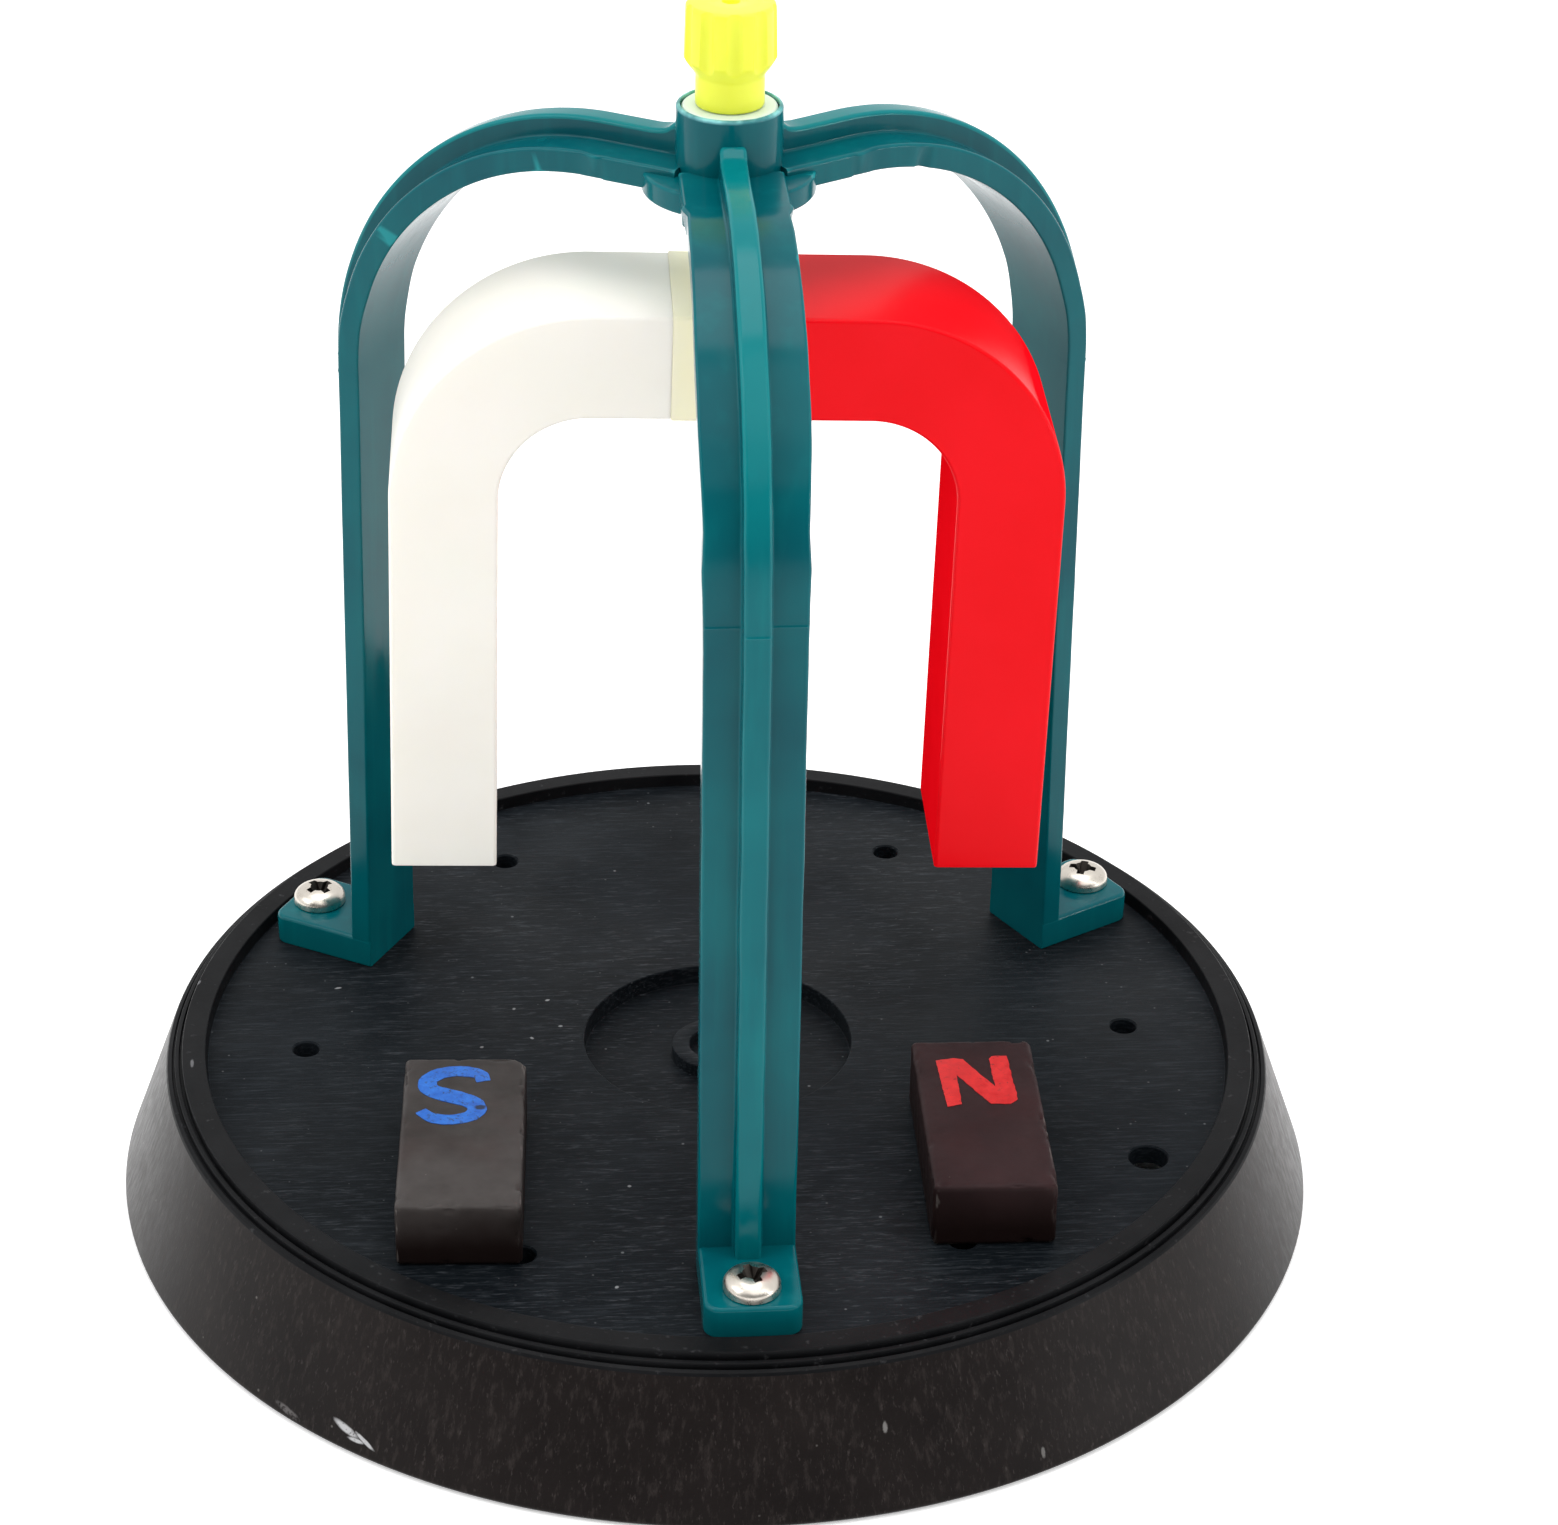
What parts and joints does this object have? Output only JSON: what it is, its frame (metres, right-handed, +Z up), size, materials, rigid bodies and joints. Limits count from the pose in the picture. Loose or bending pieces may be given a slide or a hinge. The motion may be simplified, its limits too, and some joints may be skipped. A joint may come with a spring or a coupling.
{
  "type": "demonstration electric motor",
  "caption": "Bench demonstration motor: a horseshoe magnet hangs from a finger-knob spindle in a tripod frame and turns over a round dished base that carries loose pole blocks.",
  "frame": {"origin": "centre of the base's bottom plane, where it stands on a table", "axes": "+Z up along the spindle; -Y towards the front leg; +X to the right, towards the red half of the horseshoe magnet at rest"},
  "size_m": [0.1634, 0.1634, 0.1667],
  "materials": {
    "base_black": "moulded black plastic, semi-matt, scratched",
    "frame_teal": "glossy teal moulding",
    "screw_steel": "bright nickel-plated steel",
    "bush_pale": "pale translucent nylon",
    "knob_yellow": "bright yellow moulding",
    "axle_steel": "ground steel rod",
    "washer_pale": "pale translucent nylon",
    "holder_yellow": "pale yellow moulding",
    "pin_steel": "ground steel pin",
    "magnet_red": "glossy red moulding",
    "magnet_white": "glossy cream-white moulding",
    "pole_ferrite": "sintered ferrite",
    "cap_red": "glossy red moulding",
    "cap_white": "glossy cream-white moulding",
    "block_s_ferrite": "dull grey-brown sintered ferrite with a painted blue pole letter",
    "block_n_ferrite": "dull maroon-brown sintered ferrite with a painted red pole letter"
  },
  "bodies": {
    "base": {"base_body": "base_black", "tripod_frame": "frame_teal", "foot_screws": "screw_steel", "hub_bush": "bush_pale"},
    "rotor": {"finger_knob": "knob_yellow", "axle": "axle_steel", "thrust_washer": "washer_pale", "magnet_holder": "holder_yellow", "holder_pin": "pin_steel", "magnet_half_red": "magnet_red", "magnet_half_white": "magnet_white", "pole_magnet_red": "pole_ferrite", "pole_magnet_white": "pole_ferrite", "pole_cap_red": "cap_red", "pole_cap_white": "cap_white"},
    "block_s": {"pole_block_s": "block_s_ferrite"},
    "block_n": {"pole_block_n": "block_n_ferrite"}
  },
  "joints": [
    {"name": "rotor_spin", "type": "hinge", "parent": "base", "child": "rotor", "pos_m": [0, 0, 0.147], "axis": [0, 0, 1], "continuous": true},
    {"name": "block_s_lift", "type": "slide", "parent": "base", "child": "block_s", "axis": [0, 0, 1], "range_m": [0, 0.02]},
    {"name": "block_n_lift", "type": "slide", "parent": "base", "child": "block_n", "axis": [0, 0, 1], "range_m": [0, 0.02]}
  ]
}
